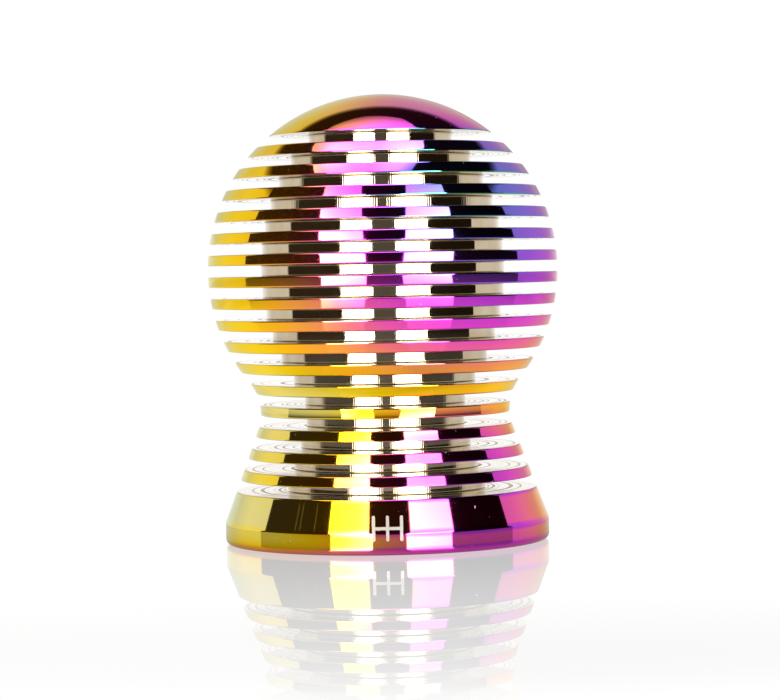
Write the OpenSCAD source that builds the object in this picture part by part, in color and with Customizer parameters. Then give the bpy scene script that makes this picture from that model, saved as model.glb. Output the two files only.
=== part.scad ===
// Gear shift knob: a turned steel ball on a waisted neck and a flared base, grooved all the way
// down into thin flat fins, with a threaded sleeve in its underside that takes the shift rod.
// The origin is the centre of the underside, and +Z runs up the axis to the top of the ball.

/* [Ball] */
// Diameter of the ball
ball_d = 50; // [44:0.5:56]
// Height of the ball's centre above the underside
ball_z = 38.75; // [36:0.25:42]

/* [Neck] */
// Radius of the round that blends the ball into the flare
neck_blend_r = 7; // [5:0.5:9]
// Lean of the flare away from the axis, in degrees
flare_angle = 20.4; // [14:0.2:24]

/* [Base] */
// Diameter of the upright band around the foot
base_d = 46.3; // [42:0.1:50]
// Height of the upright band's upper edge
band_h = 3; // [2:0.1:4]
// Height of the base, up to the lowest groove
base_h = 7.5; // [6:0.1:9]
// Radius of the round on the foot's lower edge
foot_round_r = 0.8; // [0.4:0.1:1.4]

/* [Fins and grooves] */
// Number of grooves, one more than the number of free fins
groove_count = 17; // [6:1:18]
// Width of one groove, measured along the axis
groove_w = 1.56; // [1:0.02:1.7]
// Thickness of one fin
fin_t = 1.5; // [1:0.05:1.7]
// Depth of a groove around the middle of the ball
ball_groove_depth = 7.6; // [4:0.1:9]
// Depth of a groove where the form is as narrow as the neck
neck_groove_depth = 6.6; // [4:0.1:7.5]
// Width of the broken edge on every rim
rim_break = 0.15; // [0.05:0.01:0.3]
// Radius left by the tool in the two corners of a groove's floor
floor_corner_r = 0.2; // [0.1:0.05:0.4]

/* [Socket] */
// Outside thread of the sleeve, nominal diameter
sleeve_thread_d = 16; // [14:0.5:20]
// Outside thread of the sleeve, pitch
sleeve_thread_pitch = 1.5; // [1:0.25:2]
// Depth of the threaded socket from the underside to its shoulder
socket_depth = 18.5; // [14:0.5:24]
// Diameter of the hole past the shoulder, which clears the end of the rod
rod_hole_d = 11; // [10.5:0.5:13]
// Depth of that hole from the underside, measured to its full diameter
rod_hole_depth = 32; // [26:0.5:40]
// Angle of the drill point that ends the hole
drill_point_angle = 118; // [90:1:140]
// Width of the chamfer at the socket's mouth
mouth_chamfer = 1; // [0.4:0.1:1.5]

/* [Sleeve] */
// Thread of the shift rod, nominal diameter
rod_thread_d = 10; // [8:1:10]
// Thread of the shift rod, pitch
rod_thread_pitch = 1.5; // [1:0.25:1.5]
// How far the sleeve's lower face lies above the underside
sleeve_recess = 0.5; // [0.2:0.1:2]
// Radial play between the sleeve's thread and the socket's
thread_play = 0.05; // [0.02:0.01:0.1]
// Width of the chamfers on the sleeve's outer ends
sleeve_chamfer = 0.8; // [0.4:0.1:1.2]
// Width of the chamfer at both ends of the sleeve's bore
bore_chamfer = 0.8; // [0.4:0.1:1.2]
// Width of the driver slot across the sleeve's lower face
slot_w = 2; // [1:0.1:3]
// Depth of the driver slot
slot_depth = 2; // [1:0.1:3]

/* [Hidden] */
$fn = 128;

ball_r = ball_d / 2;
base_r = base_d / 2;
fin_pitch = fin_t + groove_w;

// Half the depth of a thread, in pitches, from its crest to its pitch line
thread_half_depth = 0.325;
// A plain wall stands for a thread: on the pitch line outside, at the tapping size inside
socket_r = sleeve_thread_d / 2 - thread_half_depth * sleeve_thread_pitch;
sleeve_r = socket_r - thread_play;
sleeve_bore_r = (rod_thread_d - rod_thread_pitch) / 2;
sleeve_len = socket_depth - sleeve_recess;
rod_hole_r = rod_hole_d / 2;
drill_point_h = rod_hole_r / tan(drill_point_angle / 2);

// Cuts run past open faces by this much
past = 1;

// The blend touches the ball on one side and the flare's straight line on the other
ball_centre = [0, ball_z];
flare_foot = [base_r, band_h];
flare_up = [-sin(flare_angle), cos(flare_angle)];
flare_out = [cos(flare_angle), sin(flare_angle)];
blend_from_ball = flare_foot + neck_blend_r * flare_out - ball_centre;
blend_along = blend_from_ball * flare_up;
blend_reach = ball_r + neck_blend_r;
blend_rise = -blend_along - sqrt(pow(blend_along, 2) - blend_from_ball * blend_from_ball + pow(blend_reach, 2));
blend_centre = flare_foot + neck_blend_r * flare_out + blend_rise * flare_up;
blend_on_flare = blend_centre - neck_blend_r * flare_out;
blend_on_ball = ball_centre + (blend_centre - ball_centre) * ball_r / blend_reach;
waist_r = blend_centre[0] - neck_blend_r;

// Radius of the ungrooved form at a height
function form_r(z) =
    z <= band_h ? base_r
    : z <= blend_on_flare[1] ? base_r - (z - band_h) * tan(flare_angle)
    : z <= blend_on_ball[1] ? blend_centre[0] - sqrt(pow(neck_blend_r, 2) - pow(z - blend_centre[1], 2))
    : sqrt(max(0, pow(ball_r, 2) - pow(z - ball_z, 2)));

// Grooves deepen with the form's radius, from the neck's depth to the ball's
function groove_depth(z) =
    let (share = (form_r(z) - waist_r) / (ball_r - waist_r))
    neck_groove_depth + (ball_groove_depth - neck_groove_depth) * min(1, max(0, share));

function groove_floor_r(z) = form_r(z) - groove_depth(z);

// Lower face of a groove, counted from the base
function groove_z(index) = base_h + index * fin_pitch;

// Half section of the ungrooved form
module form_section() {
    difference() {
        union() {
            intersection() {
                translate(ball_centre) circle(r = ball_r);
                translate([0, ball_z - ball_r]) square([ball_r, ball_d]);
            }
            polygon([[0, 0], [base_r, 0], flare_foot, blend_on_flare, blend_on_ball, [0, blend_on_ball[1]]]);
        }
        translate(blend_centre) circle(r = neck_blend_r);
        foot_corner_waste();
    }
}

// What the round on the foot's lower edge takes away
module foot_corner_waste() {
    difference() {
        translate([base_r - foot_round_r, -past]) square([foot_round_r + past, foot_round_r + past]);
        translate([base_r - foot_round_r, foot_round_r]) circle(r = foot_round_r);
    }
}

// Half section of one groove: a round-cornered floor, two flat faces and a mouth that breaks both rims
module groove_section(low) {
    high = low + groove_w;
    floor_r = groove_floor_r((low + high) / 2);
    low_rim = [form_r(low) - rim_break, low];
    low_break = [form_r(low - rim_break), low - rim_break];
    high_rim = [form_r(high) - rim_break, high];
    high_break = [form_r(high + rim_break), high + rim_break];
    low_end = low_break + (low_break - low_rim);
    high_end = high_break + (high_break - high_rim);
    outside_r = ball_r + past;
    corner = floor_corner_r;
    union() {
        polygon([
            [floor_r + corner, low], low_rim, low_end, [outside_r, low_end[1]],
            [outside_r, high_end[1]], high_end, high_rim, [floor_r + corner, high]
        ]);
        translate([floor_r, low + corner]) square([2 * corner, groove_w - 2 * corner]);
        translate([floor_r + corner, low + corner]) circle(r = corner, $fn = 32);
        translate([floor_r + corner, high - corner]) circle(r = corner, $fn = 32);
    }
}

// Half section of the stepped hole in the underside
module socket_section() {
    polygon([
        [0, -past],
        [socket_r + mouth_chamfer + past, -past],
        [socket_r, mouth_chamfer],
        [socket_r, socket_depth],
        [rod_hole_r, socket_depth],
        [rod_hole_r, rod_hole_depth],
        [0, rod_hole_depth + drill_point_h]
    ]);
}

// The knob, turned from one bar of steel
module knob_body() {
    color("mediumorchid")
    rotate_extrude()
    difference() {
        form_section();
        for (index = [0 : groove_count - 1]) groove_section(groove_z(index));
        socket_section();
    }
}

// Half section of the sleeve
module sleeve_section() {
    low = sleeve_recess;
    high = sleeve_recess + sleeve_len;
    polygon([
        [sleeve_bore_r + bore_chamfer, low],
        [sleeve_r - sleeve_chamfer, low],
        [sleeve_r, low + sleeve_chamfer],
        [sleeve_r, high - sleeve_chamfer],
        [sleeve_r - sleeve_chamfer, high],
        [sleeve_bore_r + bore_chamfer, high],
        [sleeve_bore_r, high - bore_chamfer],
        [sleeve_bore_r, low + bore_chamfer]
    ]);
}

// The sleeve that screws into the socket up to its shoulder, slotted across for a driver
module thread_adapter() {
    color("silver")
    difference() {
        rotate_extrude() sleeve_section();
        translate([-sleeve_r - past, -slot_w / 2, sleeve_recess - past])
            cube([2 * (sleeve_r + past), slot_w, slot_depth + past]);
    }
}

knob_body();
thread_adapter();
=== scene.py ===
# %% [markdown]
# # A finned gear shift knob
# The real knob is one piece of steel, turned on a lathe into a ball on a waisted neck and a flared
# base, then polished, coated with a rainbow film, and grooved all the way down. The grooves were cut
# after the coating, so that the rims are coloured and everything inside the grooves is bare steel.
# This lesson lathes the knob from its half section, adds the threaded sleeve in its underside, gives
# both their finishes, and lights them as a product photographer lights chrome: with a few large
# white surfaces and darkness between them, because polished metal only shows what stands round it.

# %% [markdown]
# ## The imported model
# The CAD model is the frame. Its two nodes are plain solids, so each gets a finer piece that stands
# for it in the same place.

# %% Load the frame
import math
import bpy
from mathutils import Matrix, Vector


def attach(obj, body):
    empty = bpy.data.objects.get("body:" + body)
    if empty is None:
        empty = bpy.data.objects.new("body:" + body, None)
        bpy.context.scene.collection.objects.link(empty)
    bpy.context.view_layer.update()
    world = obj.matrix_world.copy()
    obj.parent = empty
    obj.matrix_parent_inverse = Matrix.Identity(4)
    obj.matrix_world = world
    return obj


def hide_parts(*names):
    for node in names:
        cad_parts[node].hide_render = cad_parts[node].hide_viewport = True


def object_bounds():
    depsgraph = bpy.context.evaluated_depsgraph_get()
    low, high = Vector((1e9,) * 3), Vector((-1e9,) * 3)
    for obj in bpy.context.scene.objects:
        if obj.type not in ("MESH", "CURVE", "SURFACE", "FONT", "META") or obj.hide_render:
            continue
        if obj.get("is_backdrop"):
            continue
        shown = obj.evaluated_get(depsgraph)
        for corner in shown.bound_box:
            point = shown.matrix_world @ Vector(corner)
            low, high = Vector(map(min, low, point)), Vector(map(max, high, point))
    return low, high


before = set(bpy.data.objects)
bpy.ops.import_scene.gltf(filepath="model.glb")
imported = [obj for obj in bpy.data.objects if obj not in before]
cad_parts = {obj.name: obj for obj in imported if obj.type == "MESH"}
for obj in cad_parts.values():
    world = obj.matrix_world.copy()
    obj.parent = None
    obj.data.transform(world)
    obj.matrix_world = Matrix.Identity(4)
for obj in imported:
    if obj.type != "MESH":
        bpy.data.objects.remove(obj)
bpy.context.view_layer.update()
MM = 0.001

# %% [markdown]
# ## The camera
# The photograph was taken from straight in front, level with the ball's middle, through a long
# lens, with the camera leaning a little to one side. The fins are level rings, so the way their edges
# curve gave the camera's height and distance, and the lean of the axis gave its roll. The direction
# of the view is written as small steps right and down from straight ahead, in the picture's pixels.

# %% Place the camera
PICTURE_W = 780
FOCAL_PX = 2836.3
AIM_RIGHT_PX = 7.42
AIM_DOWN_PX = 82.8
SENSOR_W = 36
CAMERA_PLACE = Vector((0, -0.406, 0.03909))
CAMERA_ROLL = 0.0192

level_right = Vector((math.cos(CAMERA_ROLL), 0, -math.sin(CAMERA_ROLL)))
level_up = Vector((math.sin(CAMERA_ROLL), 0, math.cos(CAMERA_ROLL)))
step_right = AIM_RIGHT_PX / FOCAL_PX * level_right
step_down = AIM_DOWN_PX / FOCAL_PX * level_up
ahead = (Vector((0, 1, 0)) + step_right - step_down).normalized()
right = (level_right - level_right.dot(ahead) * ahead).normalized()
up = right.cross(ahead)
bpy.ops.object.camera_add()
camera = bpy.context.object
camera.matrix_world = Matrix((right, up, -ahead)).transposed().to_4x4()
camera.location = CAMERA_PLACE
camera.data.sensor_width = SENSOR_W
camera.data.lens = FOCAL_PX * SENSOR_W / PICTURE_W
camera.data.clip_start = 0.01
camera.data.clip_end = 20
bpy.context.scene.camera = camera
print("lens in mm:", round(camera.data.lens, 1))

# %% [markdown]
# ## The knob's form
# These are the sizes of the CAD source, in millimetres. The form without its grooves is a ball, a
# round that blends it into a straight flare, and an upright band round the foot. One function gives
# its radius at any height, and another gives the radius of the floor of the groove at that height.

# %% Sizes of the form
BALL_R = 25.0
BALL_Z = 38.75
BLEND_R = 7.0
FLARE_LEAN = math.radians(20.4)
BASE_R = 23.15
BAND_H = 3.0
BASE_H = 7.5
FOOT_ROUND = 0.8
GROOVES = 17
GROOVE_W = 1.56
PITCH = 3.06
BALL_DEPTH = 7.6
NECK_DEPTH = 6.6

flare_up = Vector((-math.sin(FLARE_LEAN), math.cos(FLARE_LEAN)))
flare_out = Vector((math.cos(FLARE_LEAN), math.sin(FLARE_LEAN)))
ball_centre = Vector((0, BALL_Z))
from_ball = Vector((BASE_R, BAND_H)) + BLEND_R * flare_out - ball_centre
along = from_ball.dot(flare_up)
rise = -along - math.sqrt(along**2 - from_ball.length_squared + (BALL_R + BLEND_R) ** 2)
blend_centre = ball_centre + from_ball + rise * flare_up
on_flare = blend_centre - BLEND_R * flare_out
on_ball = ball_centre + (blend_centre - ball_centre) * BALL_R / (BALL_R + BLEND_R)
WAIST_R = blend_centre.x - BLEND_R


def form_r(z):
    """Radius of the form without grooves, in mm."""
    if z <= BAND_H:
        return BASE_R
    if z <= on_flare.y:
        return BASE_R - (z - BAND_H) * math.tan(FLARE_LEAN)
    if z <= on_ball.y:
        return blend_centre.x - math.sqrt(BLEND_R**2 - (z - blend_centre.y) ** 2)
    return math.sqrt(max(0.0, BALL_R**2 - (z - BALL_Z) ** 2))


def floor_r(z):
    """Radius of the bottom of the groove whose middle is at this height, in mm."""
    share = min(1, max(0, (form_r(z) - WAIST_R) / (BALL_R - WAIST_R)))
    return form_r(z) - NECK_DEPTH - (BALL_DEPTH - NECK_DEPTH) * share


print("waist radius in mm:", round(WAIST_R, 2), "at height", round(blend_centre.y, 2))

# %% [markdown]
# ## Working in edit mode from code
# A lathed part starts as a flat outline. It could be typed in as a list of vertices, but drawing it as
# on the screen keeps every step a tool that the reader knows: a small plane is merged to one point,
# and the point is extruded from corner to corner. Corners are rounded afterwards with the bevel tool,
# on the vertices of the flat outline, which is far lighter than bevelling the finished solid.

# %% Tools for outlines
MERGE_WITHIN = 0.001 * MM


def start_outline(name, corners):
    """A new piece in edit mode, drawn from corner to corner in the XZ plane, in mm."""
    bpy.ops.object.select_all(action="DESELECT")
    bpy.ops.mesh.primitive_plane_add(size=MM)
    piece = bpy.context.object
    piece.name = name
    piece.data.name = name
    bpy.ops.object.mode_set(mode="EDIT")
    bpy.ops.mesh.select_all(action="SELECT")
    bpy.ops.mesh.merge(type="CENTER")
    bpy.ops.transform.translate(value=(corners[0][0] * MM, 0, corners[0][1] * MM))
    for (r0, z0), (r1, z1) in zip(corners, corners[1:]):
        step = ((r1 - r0) * MM, 0, (z1 - z0) * MM)
        bpy.ops.mesh.extrude_vertices_move(TRANSFORM_OT_translate={"value": step})
    return piece


def choose(piece, kind, test):
    """Selects what passes the test, which is given the middle's radius and height in mm."""
    bpy.ops.mesh.select_mode(type=kind)
    bpy.ops.mesh.select_all(action="DESELECT")
    bpy.ops.object.mode_set(mode="OBJECT")
    mesh = piece.data
    items = mesh.vertices if kind == "VERT" else mesh.polygons
    count = 0
    for item in items:
        middle = item.co if kind == "VERT" else item.center
        item.select = test(math.hypot(middle.x, middle.y) / MM, middle.z / MM)
        count += item.select
    bpy.ops.object.mode_set(mode="EDIT")
    return count


def round_corners(piece, radius, segments, test):
    """Rounds the chosen corners of a flat outline, with a radius in mm."""
    count = choose(piece, "VERT", test)
    bpy.ops.mesh.bevel(offset=radius * MM, segments=segments, affect="VERTICES")
    print(piece.name, "corners rounded:", count)


def lathe(piece, steps):
    """Spins the outline once round the Z axis and closes the seam and the poles."""
    bpy.ops.mesh.select_all(action="SELECT")
    bpy.ops.mesh.spin(steps=steps, angle=math.tau, center=(0, 0, 0), axis=(0, 0, 1))
    bpy.ops.mesh.select_all(action="SELECT")
    bpy.ops.mesh.remove_doubles(threshold=MERGE_WITHIN)
    bpy.ops.mesh.normals_make_consistent(inside=False)
    bpy.ops.object.mode_set(mode="OBJECT")
    print(piece.name, "faces:", len(piece.data.polygons))


def apply_modifier(piece, kind, **settings):
    """Adds one modifier, sets it up and applies it."""
    bpy.context.view_layer.objects.active = piece
    modifier = piece.modifiers.new(kind.title(), kind)
    for name, value in settings.items():
        setattr(modifier, name, value)
    bpy.ops.object.modifier_apply(modifier=modifier.name)


def shade(piece, angle):
    """Smooth shading up to an angle in degrees, with the wide faces keeping their own normals."""
    bpy.ops.object.select_all(action="DESELECT")
    piece.select_set(True)
    bpy.context.view_layer.objects.active = piece
    bpy.ops.object.shade_smooth_by_angle(angle=math.radians(angle))
    apply_modifier(piece, "WEIGHTED_NORMAL", keep_sharp=True, weight=90)


print("vertices closer than this are merged, in mm:", MERGE_WITHIN / MM)

# %% [markdown]
# ## The turned knob
# On the real knob each groove is a plunge cut: two flat faces, a floor with the tool's small corner
# round, and rims whose edges are broken by a fraction of a millimetre. The outline runs from the
# drilled hole's point, over the underside, up the base and fin by fin to the top of the ball. The
# broken edges matter more than their size: in polished metal each one is a fine bright line. Next to
# each round stands one more corner on the straight, which holds the wide face flat when it is shaded.

# %% Draw the knob's outline
SOCKET_R = 7.5125
SOCKET_DEPTH = 18.5
ROD_HOLE_R = 5.5
ROD_HOLE_DEPTH = 32.0
DRILL_HALF_ANGLE = math.radians(59)
DRILL_POINT = ROD_HOLE_R / math.tan(DRILL_HALF_ANGLE)
MOUTH = 1.0
FOOT_HOLD = 0.03
RIM_ROUND = 0.18
RIM_HOLD = 0.2
FLOOR_ROUND = 0.2
FLOOR_HOLD = 0.23
CAP_STEPS = 20

outline = [
    (0, ROD_HOLE_DEPTH + DRILL_POINT),
    (ROD_HOLE_R, ROD_HOLE_DEPTH),
    (ROD_HOLE_R, SOCKET_DEPTH),
    (SOCKET_R, SOCKET_DEPTH),
    (SOCKET_R, MOUTH),
    (SOCKET_R + MOUTH, 0),
    (BASE_R, 0),
    (BASE_R, FOOT_ROUND + FOOT_HOLD),
    (BASE_R, BAND_H),
    (form_r(BASE_H - RIM_HOLD), BASE_H - RIM_HOLD),
    (form_r(BASE_H), BASE_H),
]
rim_edges = [BASE_H]
for k in range(GROOVES):
    low = BASE_H + PITCH * k
    high = low + GROOVE_W
    deep = floor_r((low + high) / 2)
    outline += [(deep, low), (deep, low + FLOOR_HOLD), (deep, high - FLOOR_HOLD), (deep, high)]
    rim = [high, high + RIM_HOLD]
    if k < GROOVES - 1:
        top = low + PITCH
        rim += [(high + top) / 2, top - RIM_HOLD, top]
    outline += [(form_r(z), z) for z in rim]
    rim_edges += [low, high]
cap_low = BASE_H + PITCH * (GROOVES - 1) + GROOVE_W
cap_angle = math.asin((cap_low + RIM_HOLD - BALL_Z) / BALL_R)
for n in range(1, CAP_STEPS):
    angle = cap_angle + (math.pi / 2 - cap_angle) * n / CAP_STEPS
    outline.append((BALL_R * math.cos(angle), BALL_Z + BALL_R * math.sin(angle)))
outline.append((0, BALL_Z + BALL_R))
knob = start_outline("turned_knob", outline)
print("outline corners:", len(outline), "cap's lower edge at", round(cap_low, 2))

# %% [markdown]
# ## Its rounds, and the spin
# Every kind of corner has its own round, so each is picked out by its place: the rims' edges lie on
# the form, the floors' corners deep inside it, and the foot and the band's edge on the base. Then the
# outline is spun once round. The spin has many steps, because a mirror shows every flat as a kink.

# %% Round its corners and spin it
ON_THE_FORM = 0.01
AT_THE_EDGE = 0.001
BAND_ROUND = 0.12
KNOB_STEPS = 240
KNOB_SHARP = 40


def at_rim_edge(r, z):
    """True on both edges of every rim."""
    return r > form_r(z) - ON_THE_FORM and any(abs(z - edge) < AT_THE_EDGE for edge in rim_edges)


def at_floor(r, z):
    """True on both corners of every groove's floor."""
    return r < form_r(z) - 1 and any(abs(z - edge) < AT_THE_EDGE for edge in rim_edges)


def on_base(r, z, height):
    """True on the base's outer corner at a height."""
    return r > BASE_R - ON_THE_FORM and abs(z - height) < ON_THE_FORM


round_corners(knob, RIM_ROUND, 4, at_rim_edge)
round_corners(knob, FLOOR_ROUND, 2, at_floor)
round_corners(knob, FOOT_ROUND, 6, lambda r, z: on_base(r, z, 0))
round_corners(knob, BAND_ROUND, 2, lambda r, z: on_base(r, z, BAND_H))
lathe(knob, KNOB_STEPS)
shade(knob, KNOB_SHARP)

# %% [markdown]
# ## The sleeve in the underside
# A threaded sleeve screws into the knob from below and takes the lever's rod. It can't be seen in the
# photograph, so it is made as such sleeves are: a chamfered tube with a driver slot across its end.
# It starts as a lathed tube, whose outline is a closed loop.

# %% Lathe the tube
SLEEVE_R = 7.4625
BORE_R = 4.25
SLEEVE_LOW = 0.5
SLEEVE_HIGH = 18.5
CHAMFER = 0.8
TUBE_STEPS = 96

tube = [
    (BORE_R + CHAMFER, SLEEVE_LOW),
    (SLEEVE_R - CHAMFER, SLEEVE_LOW),
    (SLEEVE_R, SLEEVE_LOW + CHAMFER),
    (SLEEVE_R, SLEEVE_HIGH - CHAMFER),
    (SLEEVE_R - CHAMFER, SLEEVE_HIGH),
    (BORE_R + CHAMFER, SLEEVE_HIGH),
    (BORE_R, SLEEVE_HIGH - CHAMFER),
    (BORE_R, SLEEVE_LOW + CHAMFER),
]
sleeve = start_outline("threaded_sleeve", tube + tube[:1])
lathe(sleeve, TUBE_STEPS)

# %% [markdown]
# ## Its threads and its slot
# A thread could be a picture on the surface, but a real one is easy: the shape of one turn's cut is
# swept up a helix by the Screw modifier, its ends are closed, and it is cut away from the tube. Each
# cut is a flat-bottomed notch, with its wide side past the tube's wall and its narrow side inside
# the metal. The slot is a bar that is cut away in the same manner. The cuts leave a few vertices on
# top of each other, which are merged at the end.

# %% Cut both threads and the slot
THREAD_PITCH = 1.5
THREAD_TURNS = 13
THREAD_STEPS = 48
ROD_NOTCH = [(4.1, -1.14), (5.0, -0.62), (5.0, -0.43), (4.1, 0.09)]
OUTSIDE_NOTCH = [(7.6, -1.09), (6.75, -0.6), (6.75, -0.41), (7.6, 0.08)]
SLOT_LENGTH = 20
SLOT_W = 2
SLOT_DEPTH = 2
SLOT_BAR_H = 3
SLEEVE_SHARP = 30


def cut_away(piece, cutter):
    """Takes the cutter's shape out of the piece and removes the cutter."""
    apply_modifier(piece, "BOOLEAN", operation="DIFFERENCE", object=cutter, solver="EXACT")
    bpy.data.objects.remove(cutter)


def thread_cutter(name, section):
    """Sweeps a closed section up a helix, in mm, and closes both its ends."""
    cutter = start_outline(name, section + section[:1])
    bpy.ops.mesh.select_all(action="SELECT")
    bpy.ops.mesh.remove_doubles(threshold=MERGE_WITHIN)
    bpy.ops.object.mode_set(mode="OBJECT")
    apply_modifier(
        cutter, "SCREW", axis="Z", screw_offset=THREAD_PITCH * MM, iterations=THREAD_TURNS,
        steps=THREAD_STEPS, render_steps=THREAD_STEPS, use_smooth_shade=False,
    )
    bpy.ops.object.mode_set(mode="EDIT")
    bpy.ops.mesh.select_mode(type="EDGE")
    bpy.ops.mesh.select_all(action="DESELECT")
    bpy.ops.mesh.select_non_manifold()
    bpy.ops.mesh.fill_holes(sides=0)
    bpy.ops.mesh.select_all(action="SELECT")
    bpy.ops.mesh.normals_make_consistent(inside=False)
    bpy.ops.object.mode_set(mode="OBJECT")
    return cutter


cut_away(sleeve, thread_cutter("rod_tap", ROD_NOTCH))
cut_away(sleeve, thread_cutter("sleeve_die", OUTSIDE_NOTCH))
slot_middle = SLEEVE_LOW + SLOT_DEPTH - SLOT_BAR_H / 2
bpy.ops.mesh.primitive_cube_add(size=MM, location=(0, 0, slot_middle * MM))
slot_bar = bpy.context.object
slot_bar.scale = (SLOT_LENGTH, SLOT_W, SLOT_BAR_H)
bpy.ops.object.transform_apply(location=True, scale=True)
cut_away(sleeve, slot_bar)
bpy.ops.object.mode_set(mode="EDIT")
bpy.ops.mesh.select_all(action="SELECT")
bpy.ops.mesh.remove_doubles(threshold=MERGE_WITHIN)
bpy.ops.object.mode_set(mode="OBJECT")
shade(sleeve, SLEEVE_SHARP)
print("sleeve faces:", len(sleeve.data.polygons))

# %% [markdown]
# ## Where the coating ends
# The grooves were cut through the finished coating, so the film covers what lies on the form: the
# cap, the rims, the base and the underside. The groove faces, their floors and the socket are bare
# steel. Both belong to one piece of steel, so the knob stays one mesh with two materials, and its
# faces are sorted by how far they lie inside the form. The sleeve carries a third steel.

# %% Sort the faces
COATED_TO = 0.14


def is_bare(r, z):
    """True inside the grooves and the socket, in mm."""
    grooved = BASE_H - ON_THE_FORM < z < cap_low + ON_THE_FORM
    in_groove = grooved and r < form_r(z) - COATED_TO
    return in_groove or (r < SOCKET_R + MOUTH + ON_THE_FORM and AT_THE_EDGE < z < BASE_H)


film = bpy.data.materials.new("rainbow_film")
turned = bpy.data.materials.new("bare_turned_steel")
threaded = bpy.data.materials.new("threaded_steel")
knob.data.materials.append(film)
knob.data.materials.append(turned)
sleeve.data.materials.append(threaded)
bpy.ops.object.select_all(action="DESELECT")
knob.select_set(True)
bpy.context.view_layer.objects.active = knob
bpy.ops.object.mode_set(mode="EDIT")
bare_faces = choose(knob, "FACE", is_bare)
knob.active_material_index = 1
bpy.ops.object.material_slot_assign()
bpy.ops.object.mode_set(mode="OBJECT")
print("bare faces:", bare_faces, "of", len(knob.data.polygons))

# %% [markdown]
# ## Shader maths as sums
# A material's nodes are easier to read as sums than as boxes. The class below wraps one socket of a
# node tree, and every sum on it adds a Math node. Any other node comes from its method node, which
# takes the node's type, its settings and what goes into its sockets.

# %% A socket that can be used in sums
class Wire:
    """One output socket of a node tree."""

    def __init__(self, tree, socket=None):
        self.tree = tree
        self.socket = socket

    def node(self, kind, settings=None, sockets=None, out=0):
        """Adds a node, sets it up, fills its sockets and returns one of its outputs."""
        made = self.tree.nodes.new(kind)
        for name, value in (settings or {}).items():
            if name == "stops":
                set_stops(made.color_ramp, value)
            else:
                setattr(made, name, value)
        for key, value in (sockets or {}).items():
            if isinstance(value, Wire):
                self.tree.links.new(value.socket, made.inputs[key])
            else:
                made.inputs[key].default_value = value
        return Wire(self.tree, made.outputs[out])

    def other(self, out):
        """Another output of the same node."""
        return Wire(self.tree, self.socket.node.outputs[out])

    def math(self, operation, *others):
        """One Math node on this wire and what follows it."""
        values = dict(enumerate((self, *others)))
        return self.node("ShaderNodeMath", {"operation": operation}, values)

    def size(self):
        """The value without its sign."""
        return self.math("ABSOLUTE")

    def __add__(self, other):
        return self.math("ADD", other)

    def __sub__(self, other):
        return self.math("SUBTRACT", other)

    def __rsub__(self, other):
        return self * -1 + other

    def __mul__(self, other):
        return self.math("MULTIPLY", other)

    def __truediv__(self, other):
        return self.math("DIVIDE", other)

    def __pow__(self, other):
        return self.math("POWER", other)

    __radd__ = __add__


def set_stops(ramp, stops):
    """Gives a colour ramp its stops, as pairs of place and colour."""
    while len(ramp.elements) > 1:
        ramp.elements.remove(ramp.elements[-1])
    for n, (place, colour) in enumerate(stops):
        element = ramp.elements[0] if n == 0 else ramp.elements.new(place)
        element.position = place
        element.color = (*colour, 1)


def linear(*rgb):
    """A colour as seen on the screen, 0 to 255, in the linear values that shaders use."""
    return tuple(((c / 255 + 0.055) / 1.055) ** 2.4 if c > 10 else c / 3294.6 for c in rgb)


print("mid grey on the screen is", round(linear(128, 128, 128)[0], 3), "to a shader")

# %% [markdown]
# ## Small helpers for materials
# Every material starts from an empty tree and ends in its output. Patterns follow the metal, so they
# are worked out from the object's own coordinates, in millimetres. The other helpers are an eased
# step, soft noise, a mix of two colours and a value that is looked up in a short table.

# %% Helpers for materials
def begin(owner):
    """Empties the node tree of a material or world and returns a Wire to build on."""
    owner.use_nodes = True
    owner.node_tree.nodes.clear()
    return Wire(owner.node_tree)


def end(wire, output="ShaderNodeOutputMaterial"):
    """Sends a finished shader to the tree's output."""
    made = wire.tree.nodes.new(output)
    wire.tree.links.new(wire.socket, made.inputs["Surface"])


def place_on(wire):
    """The object's own coordinates in mm, and the distance from the turning axis."""
    point = wire.node("ShaderNodeTexCoord", out=3)
    point = point.node(
        "ShaderNodeVectorMath", {"operation": "SCALE"}, {0: point, "Scale": 1 / MM}
    )
    x = point.node("ShaderNodeSeparateXYZ", None, {0: point})
    y, z = x.other(1), x.other(2)
    r = (x * x + y * y + 1e-6) ** 0.5
    return point, x, y, z, r


def smooth(wire, low, high):
    """0 below low and 1 above high, with an eased step between them."""
    return wire.node(
        "ShaderNodeMapRange",
        {"interpolation_type": "SMOOTHSTEP"},
        {"Value": wire, "From Min": low, "From Max": high},
    )


def noise(point, scale, detail):
    """Soft noise with its middle at 0, over a point in mm."""
    cloud = point.node(
        "ShaderNodeTexNoise", None, {"Vector": point, "Scale": scale, "Detail": detail}
    )
    return cloud - 0.5


def blend(factor, first, second):
    """The first colour at a factor of 0, the second at 1, and a mix between them."""
    sockets = {"Factor": factor, 6: first, 7: second}
    return factor.node("ShaderNodeMix", {"data_type": "RGBA"}, sockets, out=2)


def on_screen(*rgb):
    """A colour for a socket, given as it is seen on the screen."""
    return (*linear(*rgb), 1)


def table_of(value, top, table, scale):
    """A value looked up in a table over 0 to top, whose entries are below the scale."""
    stops = [(at / top, (v / scale,) * 3) for at, v in table]
    return value.node("ShaderNodeValToRGB", {"stops": stops}, {"Fac": value / top}) * scale


print("a warm grey for a socket:", [round(c, 3) for c in on_screen(190, 186, 178)])
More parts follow.
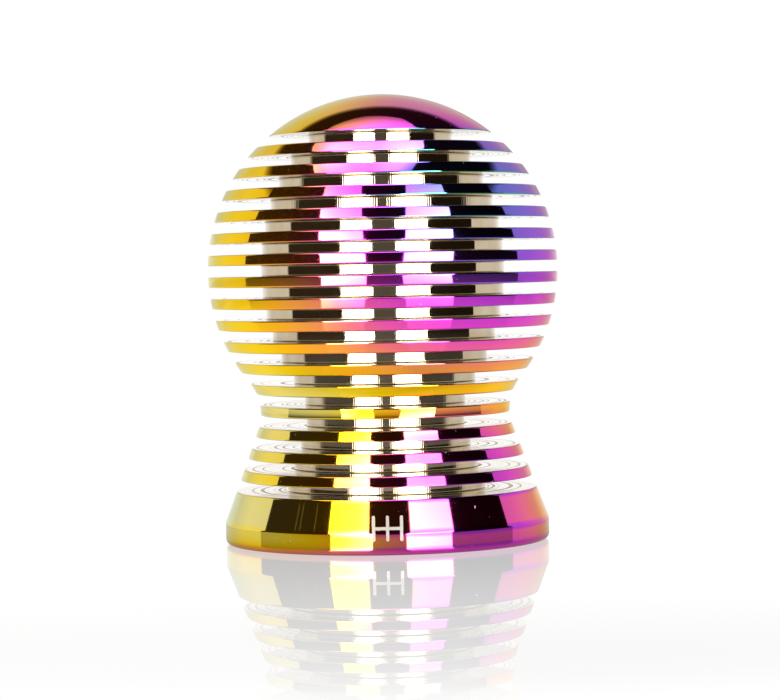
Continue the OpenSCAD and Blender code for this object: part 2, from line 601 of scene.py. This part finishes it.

# %% [markdown]
# ## The rainbow film
# The colour of such a coating comes from interference in a clear film a few hundred nanometres thick.
# Where it grew thicker the colour moves on, from pale straw over gold, orange and magenta to violet
# and blue. The photograph shows a film that is thinnest on the left and thickest on the right, at
# every height by its own amount. Blender's own thin film would give the hues, but neither this
# palette nor its places. So one number, the film's growth, is worked out from the place on the knob
# and then read off a palette. Round the axis it swings between a thin and a thick value, the same in
# front and behind, and a ramp over the height holds both values. A third value, the bend, says how
# early the swing leaves the thin end. At the left edge the swing dips below the thin value: that is
# a painted sheen, the paler, greener colour of a film seen at a grazing angle, painted at that edge.
# The film colours the metal's own reflection, so it goes into Base Color, and apart from that
# painted sheen the mirror's paler edges come from the shader by themselves.

# %% The film's palette and growth
# The palest colour, a greyish green, is only reached in the painted sheen at the left edge.
PALETTE = [
    (-0.3, (190, 204, 186)), (-0.15, (222, 214, 146)), (0.0, (244, 214, 60)), (0.05, (246, 203, 15)),
    (0.15, (252, 175, 30)), (0.25, (240, 150, 75)), (0.35, (236, 112, 118)),
    (0.45, (228, 85, 165)), (0.55, (215, 65, 192)), (0.65, (185, 60, 207)),
    (0.75, (150, 80, 210)), (0.85, (122, 100, 208)), (0.95, (95, 110, 200)),
    (1.05, (70, 140, 195)), (1.2, (60, 165, 160)), (1.35, (120, 180, 110)),
]
THIN = [
    (0, 0.36), (0.75, 0.12), (1.1, 0.03), (4, -0.11), (7.2, -0.11), (9.8, 0.0), (15.9, -0.06),
    (20.5, -0.1), (22.1, -0.05), (25.1, 0.01), (31.3, 0.05), (43.5, 0.05), (57.9, 0.06),
    (58.7, 0.01), (60.4, 0.01), (62.3, 0.0), (63.3, 0.03), (63.75, 0.12),
]
THICK = [
    (0, 0.52), (0.6, 0.52), (0.85, 0.72), (1.1, 0.48), (3, 0.47), (7.2, 0.49), (9.8, 0.6),
    (12.8, 0.57), (15.9, 0.49), (18.9, 0.3), (22.1, 0.10), (28.2, 0.44), (31.3, 0.57),
    (34.3, 0.63), (37.4, 0.75), (40.5, 0.8), (43.5, 0.86), (49.6, 0.96), (52.6, 0.95),
    (55.7, 0.83), (57.9, 0.8), (58.7, 0.6), (60.4, 0.5), (62.3, 0.46), (63.3, 0.4), (63.75, 0.3),
]
BEND = [
    (0, 1.0), (0.85, 1.0), (1.1, 1.4), (3, 1.2), (7.2, 1.2), (9.8, 1.0), (12.8, 1.1), (15.9, 1.4),
    (18.9, 1.5), (22.1, 1.0), (25.1, 0.75), (43.5, 0.8), (49.6, 1.0), (52.6, 0.9), (55.7, 0.7),
    (58.7, 0.7), (63.75, 0.7),
]
BEND_TOP = 2.0
GROWTH_LOW, GROWTH_HIGH = -0.3, 1.35
THICKEST_AT = math.radians(34)
THINNEST_AT = -56
SLOWER_PAST = 0.85
# The dip at the left edge is a painted sheen, the colour of a film seen at a grazing angle.
SHEEN_DIP_FROM = -64
SHEEN_DIP_OVER = 26
SHEEN_DIP_BY = 0.3
SWING_STEPS = 24
TOP = BALL_Z + BALL_R


def between(table, z):
    """A value read from a table of height and value, straight between its entries."""
    for (z0, v0), (z1, v1) in zip(table, table[1:]):
        if z <= z1:
            return v0 + (v1 - v0) * (z - z0) / (z1 - z0)
    return table[-1][1]


def share_of_palette(growth):
    """Where a growth lies on the palette's ramp, 0 to 1."""
    return (growth - GROWTH_LOW) / (GROWTH_HIGH - GROWTH_LOW)


def swing(angle):
    """How far the film has grown at an azimuth in degrees, from 0 at its thinnest to 1.

    At the left edge it dips below 0: a painted sheen, the pale green of a film seen edge-on.
    """
    if angle < SHEEN_DIP_FROM:
        return -SHEEN_DIP_BY * math.sin(math.radians((SHEEN_DIP_FROM - angle) * 90 / SHEEN_DIP_OVER))
    past = math.radians(max(angle, THINNEST_AT)) - THICKEST_AT
    return math.cos(past * (SLOWER_PAST if past > 0 else 1)) ** 2


growth_stops = []
for z in sorted({z for z, _ in THIN + THICK + BEND}):
    ends = share_of_palette(between(THIN, z)), share_of_palette(between(THICK, z))
    growth_stops.append((z / TOP, (*ends, between(BEND, z) / BEND_TOP)))
swing_stops = []
for n in range(SWING_STEPS + 1):
    swung = swing(-90 + 180 * n / SWING_STEPS)
    # The second channel holds the dip, the painted sheen at the left edge.
    swing_stops.append((n / SWING_STEPS, (max(0.0, swung), max(0.0, -swung), 0)))
palette_stops = [(share_of_palette(g), linear(*rgb)) for g, rgb in PALETTE]
print("ramp stops:", len(growth_stops), "heights and", len(palette_stops), "colours")

# %% [markdown]
# ## The film along the edges
# A film grows a little faster on edges, so the rims and the base's two edges run ahead of the faces
# between them, most on the thick side. The lower edges of the upper rims run furthest ahead. Soft
# noise keeps the bands of colour from being perfectly straight.

# %% The film's colour
RIM_AHEAD = 0.04
BASE_AHEAD = 0.12
BASE_AHEAD_ALL_ROUND = 0.02
LIP_AHEAD = 0.2
LIP_FROM, LIP_FULL = 42.0, 50.0
CLOUD_SCALE = 0.09
CLOUD_GROWTH = 0.03
PALE_CAP = 0.09


def film_growth(point, x, y, z):
    """How far the film has grown at a place on the knob, on the palette's ramp."""
    ends = z.node("ShaderNodeValToRGB", {"stops": growth_stops}, {"Fac": z / TOP})
    thin = z.node("ShaderNodeSeparateColor", None, {0: ends})
    thick, bend = thin.other(1), thin.other(2)
    round_the_side = x.math("ARCTAN2", y.size()) / math.pi + 0.5
    swings = x.node("ShaderNodeValToRGB", {"stops": swing_stops}, {"Fac": round_the_side})
    grown = x.node("ShaderNodeSeparateColor", None, {0: swings})
    swung = grown ** (bend * BEND_TOP)
    # Taking off the dip paints the grazing sheen at the left edge.
    growth = thin + (thick - thin) * (swung - grown.other(1))
    up_the_rim = ((z - BASE_H) / PITCH).math("FRACT") * PITCH
    from_edge = (up_the_rim - GROOVE_W).math("MINIMUM", (up_the_rim * -1) + PITCH)
    rims = smooth(z, BASE_H + 1, BASE_H + 1.1) * (1 - smooth(z, 58.5, 58.6))
    at_rim = (1 - smooth(from_edge, 0.05, 0.3)) * rims
    at_top_edge = 1 - smooth((z - BASE_H).size(), 0.1, 0.6)
    at_base = at_top_edge.math("MAXIMUM", 1 - smooth((z - BAND_H).size(), 0.1, 0.7))
    at_lip = (1 - smooth(up_the_rim - GROOVE_W, 0.08, 0.25)) * smooth(z, LIP_FROM, LIP_FULL)
    at_lip = at_lip * (1 - smooth(z, cap_low + 0.4, cap_low + 0.5))
    ahead_of_faces = at_rim * RIM_AHEAD + at_base * BASE_AHEAD + at_lip * LIP_AHEAD
    growth = growth + ahead_of_faces * swung + at_base * BASE_AHEAD_ALL_ROUND
    return growth + noise(point, CLOUD_SCALE, 3.0) * CLOUD_GROWTH


def film_colour(point, x, y, z):
    """The film's colour at a place on the knob. It is a little paler on the cap."""
    growth = film_growth(point, x, y, z)
    colour = growth.node("ShaderNodeValToRGB", {"stops": palette_stops}, {"Fac": growth})
    return blend(smooth(z, 59.0, 61.5) * PALE_CAP, colour, (1, 1, 1, 1))


print("growth at the thick edges:", BASE_AHEAD, "on the base,", LIP_AHEAD, "on the upper rims")

# %% [markdown]
# ## Marks, dust and painted glints on the film
# The front of the base carries a small plain shift gate, three strokes and a bar across them, cut
# through the film by laser, so that it is matt silver. It is drawn as distances: a point belongs to
# it where the nearest stroke is closer than half a line. Polished metal is never clean either. Specks
# of dust lie in some of the cells of a Voronoi pattern, and a haze of the finest dust lies on the left
# of the upper fins. Two more marks are made of the same pale layer as the dust but are painted light:
# one small pale spot on the base is a painted glint, and a few faint upright lines on its front are a
# painted reflection.

# %% Marks, dust and painted glints
GATE_GAP = 1.9
GATE_MIDDLE = 3.7
GATE_REACH = 1.5
GATE_HALF_LINE = 0.21
GATE_BLUR = 0.03
# Azimuths of the painted reflection's upright lines on the base.
STREAKS_AT = (-33.4, -31.6, -25.8)


def gate_mark(x, y, z):
    """1 on the plain shift gate on the front of the base, in mm."""
    column = x - (x / GATE_GAP).math("ROUND") * GATE_GAP
    up = z - GATE_MIDDLE
    beyond = (up.size() - GATE_REACH).math("MAXIMUM", 0.0)
    stroke = (column * column + beyond * beyond) ** 0.5
    aside = (x.size() - GATE_GAP).math("MAXIMUM", 0.0)
    bar = (aside * aside + up * up) ** 0.5
    near = stroke.math("MINIMUM", bar)
    inside = x.size().math("LESS_THAN", 1.5 * GATE_GAP) * y.math("LESS_THAN", 0.0)
    return (1 - smooth(near, GATE_HALF_LINE - GATE_BLUR, GATE_HALF_LINE + GATE_BLUR)) * inside


def dust(point, cell, radius, share):
    """1 on dust: a speck in some of the cells, whose size and radius are in mm."""
    cells = point.node(
        "ShaderNodeTexVoronoi", None, {"Vector": point, "Scale": 1 / cell, "Randomness": 1.0}
    )
    chance = point.node("ShaderNodeSeparateColor", None, {0: cells.other(1)})
    speck = 1 - smooth(cells, 0.6 * radius / cell, radius / cell)
    return speck * chance.math("LESS_THAN", share)


def painted_glint(point, place, radius):
    """1 on a painted glint: a small pale spot at a place in mm."""
    sockets = {0: point, 1: place}
    away = point.node("ShaderNodeVectorMath", {"operation": "DISTANCE"}, sockets, out=1)
    return 1 - smooth(away, 0.5 * radius, radius)


def reflected_lines(x, y, z):
    """1 on a painted reflection, faint pale upright lines on the front of the base, at set azimuths.
    """
    azimuth = x.math("ARCTAN2", y * -1) * (180 / math.pi)
    nearest = (azimuth - STREAKS_AT[0]).size()
    for at in STREAKS_AT[1:]:
        nearest = nearest.math("MINIMUM", (azimuth - at).size())
    return (1 - smooth(nearest, 0.1, 0.4)) * smooth(z, 3.1, 3.6) * (1 - smooth(z, 6.3, 7.4))


def haze(point, x, z):
    """1 in the thick of the fine dust on the left of the upper fins."""
    on_the_left = smooth(x * -1, 4, 10) * smooth(z, 34, 40) * (1 - smooth(z, 56, 59))
    return smooth(noise(point, 3.0, 2.0), 0.0, 0.2) * on_the_left


# The wipe marks printed below are a painted reflection of upright lines.
print("wipe marks at azimuths:", STREAKS_AT)

# %% [markdown]
# ## The film's material
# All dust is a pale, dull layer, and so are the painted glint and the painted reflection of upright
# lines, so one number for how much of it lies there takes away some of the metal's colour, its
# metallic share and its gloss. Where it is faint it only greys the reflection.

# %% Put the film together
# Places, radii and amounts of the painted glint: two pale spots that make one small highlight.
PAINTED_GLINTS = [((12.04, -18.41, 6.1), 0.12, 0.8), ((12.0, -18.5, 5.9), 0.09, 0.7)]
FINE_DUST = dict(cell=0.7, radius=0.035, share=0.3)
COARSE_DUST = dict(cell=1.6, radius=0.06, share=0.3)
PAINTED_LINES_SHARE = 0.025
HAZE_DUST = 0.014
GLOSS = 0.045

wire = begin(film)
point, x, y, z, _ = place_on(wire)
mark = gate_mark(x, y, z)
# This holds the dust, and from here on also the painted glint and the painted reflection of upright
# lines.
dust_and_glints = dust(point, **COARSE_DUST).math("MAXIMUM", dust(point, **FINE_DUST))
# The painted glint joins the pale layer.
for place, radius, amount in PAINTED_GLINTS:
    dust_and_glints = dust_and_glints.math("MAXIMUM", painted_glint(point, place, radius) * amount)
# The painted reflection of upright lines joins the pale layer.
dust_and_glints = dust_and_glints.math("MAXIMUM", reflected_lines(x, y, z) * PAINTED_LINES_SHARE)
dust_and_glints = dust_and_glints.math("MAXIMUM", haze(point, x, z) * HAZE_DUST)
colour = blend(mark, film_colour(point, x, y, z), on_screen(126, 123, 117))
smears = noise(point, 0.35, 4.0)
end(wire.node("ShaderNodeBsdfPrincipled", None, {
    "Base Color": blend(dust_and_glints, colour, on_screen(190, 186, 178)),
    "Metallic": 1 - dust_and_glints * 0.9,
    "Roughness": GLOSS + smears * 0.03 + mark * 0.42 + dust_and_glints * 0.5,
    "Specular Tint": (0.82, 0.83, 0.7, 1),
}))
print("nodes in the film's material:", len(film.node_tree.nodes))

# %% [markdown]
# ## Bare turned steel
# The groove faces are finished by the tool itself. Its feed leaves fine rings on the flat faces, and
# its chatter leaves fine upright lines on the floors, three hundred to a turn. They don't show as
# shapes, only where the mirror image is broken, so they are bumps: noise along the radius on the flat
# faces, and narrow ridges round the axis on the floors. The flat faces are also duller where the
# rings are most deeply scored. The chatter is strongest in one of the upper grooves and in the neck.

# %% The bare steel's material
RINGS_PER_MM = 1.6
RING_SHIFT = 7
CHATTER_PER_TURN = 300
RIDGE_SHARPNESS = 5.0
CHATTER = [
    (0, 0.7), (0.3, 0.7), (0.42, 0.15), (0.72, 0.12), (0.735, 1.0), (0.78, 1.0), (0.79, 0.6),
    (0.88, 0.3), (1.0, 0.15),
]
RING_HEIGHT = 1.5
CHATTER_HEIGHT = 1.9
BUMP_UNIT = 0.002 * MM
SCORED_DULLNESS = 0.25

wire = begin(turned)
point, x, y, z, r = place_on(wire)
level = (z / PITCH).math("ROUND")
rings = wire.node("ShaderNodeTexNoise", {"noise_dimensions": "1D"}, {
    "W": r * RINGS_PER_MM + level * RING_SHIFT, "Scale": 1.0, "Detail": 2.0,
})
strength = table_of(z / TOP, 1, CHATTER, 1)
wave = (y.math("ARCTAN2", x) * CHATTER_PER_TURN).math("SINE") * 0.5 + 0.5
chatter = wave ** RIDGE_SHARPNESS * strength
normal = wire.node("ShaderNodeNewGeometry", out=1)
normal_up = wire.node("ShaderNodeSeparateXYZ", None, {0: normal}).other(2)
upright = smooth(1 - normal_up.size(), 0.3, 0.7)
flat = 1 - upright
height = rings * flat * RING_HEIGHT + chatter * upright * CHATTER_HEIGHT
bump = wire.node("ShaderNodeBump", None, {"Strength": 1.0, "Distance": BUMP_UNIT, "Height": height})
stain = noise(point, 0.25, 4.0)
end(wire.node("ShaderNodeBsdfPrincipled", None, {
    # Painted shade: the upright groove floors take the darker, warmer steel colour, the flat faces the
    # paler one.
    "Base Color": blend(
        upright * 0.7 + stain + 0.15, on_screen(220, 212, 194), on_screen(192, 174, 142)),
    "Metallic": 1.0,
    "Roughness": 0.04 + smooth(rings, 0.52, 0.62) * flat * SCORED_DULLNESS,
    "Normal": bump,
}))
print("nodes in the bare steel's material:", len(turned.node_tree.nodes))

# %% [markdown]
# ## The sleeve's steel
# The sleeve is plain machine steel, duller than the knob, with the same feed marks left coarser.
# Its thread is real, so the material only needs the tool's fine lines and a little oil in places.

# %% The sleeve's material
LINES_PER_MM = 6

wire = begin(threaded)
point, x, y, z, r = place_on(wire)
lines = wire.node("ShaderNodeTexNoise", {"noise_dimensions": "1D"}, {
    "W": (r + z) * LINES_PER_MM, "Scale": 1.0, "Detail": 3.0,
})
bump = wire.node("ShaderNodeBump", None, {"Strength": 0.4, "Distance": 0.01 * MM, "Height": lines})
oil = smooth(noise(point, 0.3, 3.0), -0.05, 0.15)
end(wire.node("ShaderNodeBsdfPrincipled", None, {
    "Base Color": blend(oil, on_screen(198, 194, 186), on_screen(168, 163, 152)),
    "Metallic": 1.0,
    "Roughness": 0.32 - oil * 0.1 + lines * 0.08,
    "Normal": bump,
}))
print("nodes in the sleeve's material:", len(threaded.node_tree.nodes))

# %% [markdown]
# ## Both pieces join the frame
# Each piece rides on the frame's one body and stands for the CAD node whose place it takes.

# %% Hang both pieces on the frame
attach(knob, "root")
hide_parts("knob_body")
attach(sleeve, "root")
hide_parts("thread_adapter")

# %% [markdown]
# ## The studio
# Chrome is lit by what it mirrors. Two tall softboxes stand in front at the left and right, a wide
# one hangs overhead, a white backdrop wraps round the back, and the rest of the room is dark, which
# gives the black bands between the highlights. Each is a plain card that glows, and none is seen by
# the camera itself. A card can be seen through, so that one never hides another. The edges of the
# highlights on the fins gave the directions of the cards.

# %% Cards that glow
CARD_R = 1.2


def card(name, corners, faces):
    """A flat or folded card through corners in metres, which only shows in reflections."""
    mesh = bpy.data.meshes.new(name)
    mesh.from_pydata([tuple(c) for c in corners], [], [tuple(f) for f in faces])
    made = bpy.data.objects.new(name, mesh)
    bpy.context.scene.collection.objects.link(made)
    made.visible_camera = False
    made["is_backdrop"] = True
    return made


def strip(name, rows, cuts=4):
    """A card that stands on a circle. Each row has a height and the azimuths of its two edges."""
    corners = []
    for height, edge_a, edge_b in rows:
        for n in range(cuts + 1):
            angle = math.radians(edge_a + (edge_b - edge_a) * n / cuts)
            corners.append((CARD_R * math.sin(angle), -CARD_R * math.cos(angle), height))
    starts = [row * (cuts + 1) + n for row in range(len(rows) - 1) for n in range(cuts)]
    return card(name, corners, [(a, a + 1, a + cuts + 2, a + cuts + 1) for a in starts])


def glow(name, strength):
    """A glowing material. strength is a function of the place in metres that returns a Wire."""
    material = bpy.data.materials.new(name)
    wire = begin(material)
    point = wire.node("ShaderNodeTexCoord", out=3)
    x = point.node("ShaderNodeSeparateXYZ", None, {0: point})
    power = strength(x, x.other(1), x.other(2))
    light = wire.node("ShaderNodeEmission", None, {"Color": (1, 1, 1, 1), "Strength": power})
    clear = wire.node("ShaderNodeBsdfTransparent")
    end(wire.node("ShaderNodeAddShader", None, {0: light, 1: clear}))
    return material


print("the cards stand this far from the knob, in m:", CARD_R)

# %% [markdown]
# ## The two softboxes
# Each stands on a circle round the knob. They lean outwards, so their edges move away from the middle
# with the height, and their lamps sit low, so the glow weakens towards the top.

# %% Stand the two softboxes
SOFTBOX_TOP = 1.85
SOFTBOX_BRIGHTEST = 20
SOFTBOX_BY_HEIGHT = [
    (0, 20), (0.2, 20), (0.5, 13.5), (0.7, 9), (0.9, 6), (1.2, 4.3), (1.5, 2.8), (SOFTBOX_TOP, 2),
]
LEFT_ROWS = [
    (0, -10.2, -39.2), (0.2, -10.8, -40.2), (0.5, -12.8, -43), (0.87, -14.8, -46.5),
    (1.48, -17.8, -53), (SOFTBOX_TOP, -19.5, -57),
]
RIGHT_ROWS = [
    (0, 12.2, 44.2), (0.2, 13.8, 46.2), (0.5, 15.8, 48.7), (0.87, 17.8, 52.2),
    (1.48, 22.5, 58), (SOFTBOX_TOP, 25, 62),
]


def softbox_strength(x, y, z):
    """Brightest below, weaker towards the top."""
    return table_of(z, SOFTBOX_TOP, SOFTBOX_BY_HEIGHT, SOFTBOX_BRIGHTEST)


softbox_left = strip("softbox_left", LEFT_ROWS)
softbox_right = strip("softbox_right", RIGHT_ROWS)
softbox_glow = glow("softbox_glow", softbox_strength)
softbox_left.data.materials.append(softbox_glow)
softbox_right.data.materials.append(softbox_glow)
print("softboxes' azimuths at the foot:", LEFT_ROWS[0][1:], "and", RIGHT_ROWS[0][1:])

# %% [markdown]
# ## The overhead softbox
# The broad pink highlights on the upper fins are a softbox that hangs over the knob, a little towards
# the left. Its glow is strongest in the middle, weak at the rear, and fades out to the right.

# %% Hang the overhead softbox
OVERHEAD_Z = 1.04
OVERHEAD_OUTLINE = [
    (-0.7, -0.33), (-0.66, -0.11), (-0.55, 0.27), (-0.36, 0.5), (-0.1, 0.56), (0.15, 0.5),
    (0.3, 0.3), (0.355, 0.05), (0.36, -0.2), (0.3, -0.42), (0.1, -0.53), (-0.3, -0.55),
    (-0.55, -0.45),
]
OVERHEAD_FRONT = -0.55
OVERHEAD_DEPTH = 1.1
OVERHEAD_BRIGHTEST = 12
OVERHEAD_BY_DEPTH = [
    (0, 4.5), (0.12, 5), (0.25, 6), (0.38, 9), (0.5, 10), (0.6, 7), (0.7, 4.5), (0.83, 3),
    (0.88, 2.3), (0.93, 1.7), (0.98, 1.1), (1.03, 0.7), (OVERHEAD_DEPTH, 0.2),
]


def overhead_strength(x, y, z):
    """Strongest in the middle, weaker at the left end, and faded out at the front right."""
    depth = y - OVERHEAD_FRONT
    by_depth = table_of(depth, OVERHEAD_DEPTH, OVERHEAD_BY_DEPTH, OVERHEAD_BRIGHTEST)
    at_right = smooth(x * 0.92 - y * 0.46, 0.22, 0.56)
    at_left = smooth(x * -1, 0.3, 0.62)
    return by_depth * (1 - at_right) * (1 - at_left * 0.65)


overhead = card(
    "softbox_overhead",
    [(x, y, OVERHEAD_Z) for x, y in OVERHEAD_OUTLINE],
    [range(len(OVERHEAD_OUTLINE))],
)
overhead.data.materials.append(glow("overhead_glow", overhead_strength))
print("overhead softbox's corners:", len(OVERHEAD_OUTLINE), "at a height in m of", OVERHEAD_Z)

# %% [markdown]
# ## The backdrop
# The pale ends of every fin mirror a white backdrop that wraps round the back. It is lit up to a soft
# top edge, which is higher at the rear, and it is brightest low down behind the knob and at its sides.

# %% Wrap the backdrop round the back
BACKDROP_TOP = 1.5
BACKDROP_FROM, BACKDROP_TO = 98, 260
TOP_BY_DEPTH = [
    (0, 0.83), (0.3, 0.86), (0.7, 0.91), (0.92, 0.98), (1.0, 1.05), (1.13, 1.18), (CARD_R, 1.3),
]
BACKDROP_BY_HEIGHT = [
    (0, 1.0), (0.25, 0.98), (0.5, 0.95), (0.75, 0.92), (0.94, 0.9), (0.99, 0.6), (1.046, 0.24),
    (1.108, 0.07), (1.15, 0.0), (1.2, 0.0),
]
BACKDROP_BY_DEPTH = [(0, 0.93), (0.3, 0.96), (0.65, 1.0), (0.95, 0.87), (CARD_R, 0.84)]
LOW_REAR_MORE = 0.22
RIGHT_REAR_LESS = 0.2
LEFT_REAR_LESS = 0.04


def backdrop_strength(x, y, z):
    """Bright up to the top edge, brighter low down at the rear, and dimmer just above that."""
    up = z / table_of(y, CARD_R, TOP_BY_DEPTH, 1.3)
    by_height = table_of(up.math("MINIMUM", 1.2), 1.2, BACKDROP_BY_HEIGHT, 1)
    low_rear = smooth(y, 0.85, 1.15) * (1 - smooth(z, 0.12, 0.18)) * LOW_REAR_MORE
    dim_rear = smooth(y, 1.08, 1.16) * smooth(z, 0.15, 0.21) * (1 - smooth(z, 0.3, 0.44))
    dim_rear = dim_rear * (LEFT_REAR_LESS + smooth(x, -0.1, 0.1) * RIGHT_REAR_LESS)
    return by_height * (table_of(y, CARD_R, BACKDROP_BY_DEPTH, 1) + low_rear - dim_rear)


backdrop_rows = [(0, BACKDROP_FROM, BACKDROP_TO), (BACKDROP_TOP, BACKDROP_FROM, BACKDROP_TO)]
backdrop = strip("backdrop", backdrop_rows, cuts=36)
backdrop.data.materials.append(glow("backdrop_glow", backdrop_strength))
print("backdrop's azimuths:", BACKDROP_FROM, "to", BACKDROP_TO)

# %% [markdown]
# ## The floor
# The knob stands on a sheet of glossy white acrylic, which mirrors it. To the camera the sheet is
# plain white with that mirror image in it, and the image fades towards the camera, so the share of
# the gloss falls with the distance from the knob. The knob itself mirrors the sheet too, and there
# the sheet is a glow with light and shade painted into it: a painted shadow makes it weaker round
# the foot, where the knob would stand in the way of the light, it is weaker again far out, and a
# painted pool of light keeps it bright for longer behind the knob than in front. The sheet's mirror,
# as the knob sees it, is dimmed round the foot too, a painted shade. From below the sheet is clear,
# so that a camera under it sees the knob's underside.

# %% Lay the floor
FLOOR_R = 1.19
FLOOR_Z = -2e-5
ACRYLIC_IOR = 1.49
WHITE_TO_CAMERA = 1.02
MIRROR_END = 160
MIRROR_BY_DISTANCE = [
    (0, 0.85), (40, 0.82), (73, 0.72), (109, 0.63), (124, 0.54), (138, 0.4), (149, 0.18),
    (MIRROR_END, 0.0),
]
WHITE_END = 600
# Painted light and painted shadow: the floor's glow as the knob sees it, weaker round the foot.
PAINTED_FLOOR_LIGHT_BY_DISTANCE = [
    (0, 0.4), (23, 0.5), (26, 0.6), (32, 0.85), (42, 1.05), (50, 1.1), (100, 1.1), (150, 1.05),
    (200, 0.75), (260, 0.38), (330, 0.4), (WHITE_END, 0.4),
]
# A painted pool of light behind the knob.
PAINTED_LIGHT_BEHIND = 0.42
# Painted shade on the floor's mirror round the foot.
PAINTED_MIRROR_SHADE = 0.65

bpy.ops.mesh.primitive_circle_add(
    vertices=96, radius=FLOOR_R, fill_type="NGON", location=(0, 0, FLOOR_Z))
floor = bpy.context.object
floor.name = "floor"
floor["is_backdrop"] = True
acrylic = bpy.data.materials.new("white_acrylic")
floor.data.materials.append(acrylic)
wire = begin(acrylic)
point, x, y, z, r = place_on(wire)
fade = table_of(r.math("MINIMUM", MIRROR_END), MIRROR_END, MIRROR_BY_DISTANCE, 1)
# The floor's glow for the knob, with its painted shadow round the foot and painted light behind.
lit = table_of(r.math("MINIMUM", WHITE_END), WHITE_END, PAINTED_FLOOR_LIGHT_BY_DISTANCE, 1.2)
behind = smooth(y, 30, 130) * smooth(r, 150, 220) * (1 - smooth(r, 350, 700))
lit = lit + behind * PAINTED_LIGHT_BEHIND
seen = wire.node("ShaderNodeLightPath")
mirror = wire.node("ShaderNodeFresnel", None, {"IOR": ACRYLIC_IOR}) * (1 - seen + seen * fade)
whiteness = lit * (1 - seen) + seen * WHITE_TO_CAMERA
white = wire.node("ShaderNodeEmission", None, {"Color": (1, 1, 1, 1), "Strength": whiteness})
# Painted shade: the floor's mirror, as the knob sees it, dims towards the foot.
dimmed = (1 - seen) * (PAINTED_MIRROR_SHADE + smooth(r, 50, 130) * (1 - PAINTED_MIRROR_SHADE)) + seen
dimmed = wire.node("ShaderNodeCombineColor", None, {0: dimmed, 1: dimmed, 2: dimmed})
shine = wire.node("ShaderNodeBsdfGlossy", None, {"Color": dimmed, "Roughness": 0.0})
sheet = wire.node("ShaderNodeMixShader", None, {0: mirror, 1: white, 2: shine})
from_below = wire.node("ShaderNodeNewGeometry", out=6)
clear = wire.node("ShaderNodeBsdfTransparent")
end(wire.node("ShaderNodeMixShader", None, {0: from_below, 1: sheet, 2: clear}))
print("floor's radius in m:", FLOOR_R)

# %% [markdown]
# ## The room
# The room is white to the camera, and dark and a little warm to everything else. It is lighter on the
# left, lighter near level than overhead, and lightest behind the camera, where the front of the
# groove floors mirrors it.

# %% Set the room
ROOM_DARK = 0.021
LIGHTER_LEFT = 0.015
LIGHTER_LEVEL = 0.011
LIGHTER_BEHIND_CAMERA = 0.1
WARM = (1, 0.7, 0.48, 1)

room = bpy.data.worlds.new("room")
bpy.context.scene.world = room
wire = begin(room)
seen = wire.node("ShaderNodeLightPath")
direction = wire.node("ShaderNodeTexCoord")
x = wire.node("ShaderNodeSeparateXYZ", None, {0: direction})
y, steepness = x.other(1), x.other(2).size()
horizon = (1 - smooth(steepness, 0.03, 0.13)) * smooth(y * -1, 0.93, 0.98)
level_glow = 1 - smooth(steepness, 0.08, 0.4)
dark = ROOM_DARK - x * LIGHTER_LEFT + horizon * LIGHTER_BEHIND_CAMERA + level_glow * LIGHTER_LEVEL
tone = blend(seen.math("MAXIMUM", horizon * 0.8), WARM, (1, 1, 1, 1))
sky = wire.node("ShaderNodeBackground", None, {"Color": tone, "Strength": dark * (1 - seen) + seen})
end(sky, "ShaderNodeOutputWorld")
bpy.context.scene.view_settings.view_transform = "Standard"
print("nodes in the room's world:", len(room.node_tree.nodes))

# %% [markdown]
# ## The last look
# The finished pieces must fill the same box as the CAD model, so their box is written down.

# %% Write down the box and finish
low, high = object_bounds()
print("visual box in mm:", [round(v / MM, 2) for v in (*low, *high)])
